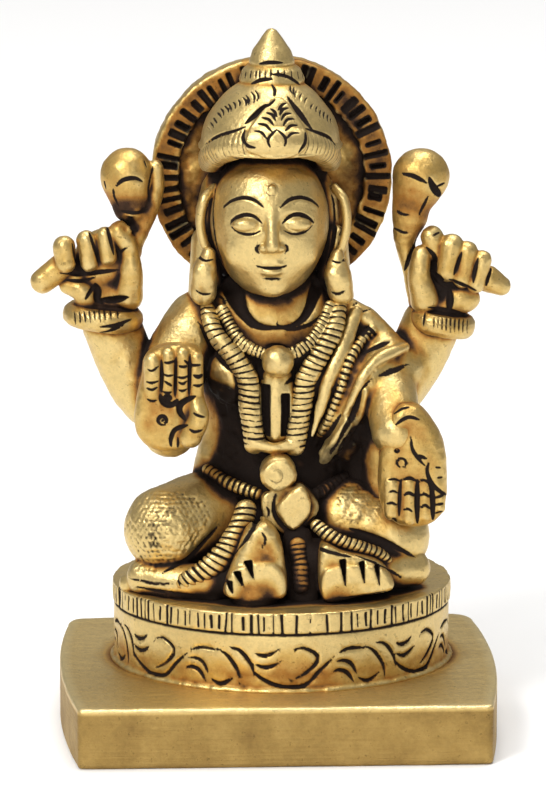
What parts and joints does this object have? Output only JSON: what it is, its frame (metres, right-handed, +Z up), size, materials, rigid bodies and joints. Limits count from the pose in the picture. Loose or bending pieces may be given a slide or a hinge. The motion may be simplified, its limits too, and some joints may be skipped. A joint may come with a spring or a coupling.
{
  "type": "seated lotus goddess figure",
  "caption": "Small cast brass figure of a seated four-armed lotus goddess with halo, on an engraved drum and a flat slab, all one casting.",
  "frame": {"origin": "centre of the slab's underside", "axes": "+Z up through the finial, -Y to the front where the figure faces, +X to the viewer's right"},
  "size_m": [0.0638, 0.049, 0.0944],
  "materials": {
    "brass": "antique brass, rubbed bright on the high places, black-brown patina left in the recesses and strokes"
  },
  "bodies": {
    "root": {"lakshmi_figure": "brass"}
  },
  "joints": []
}
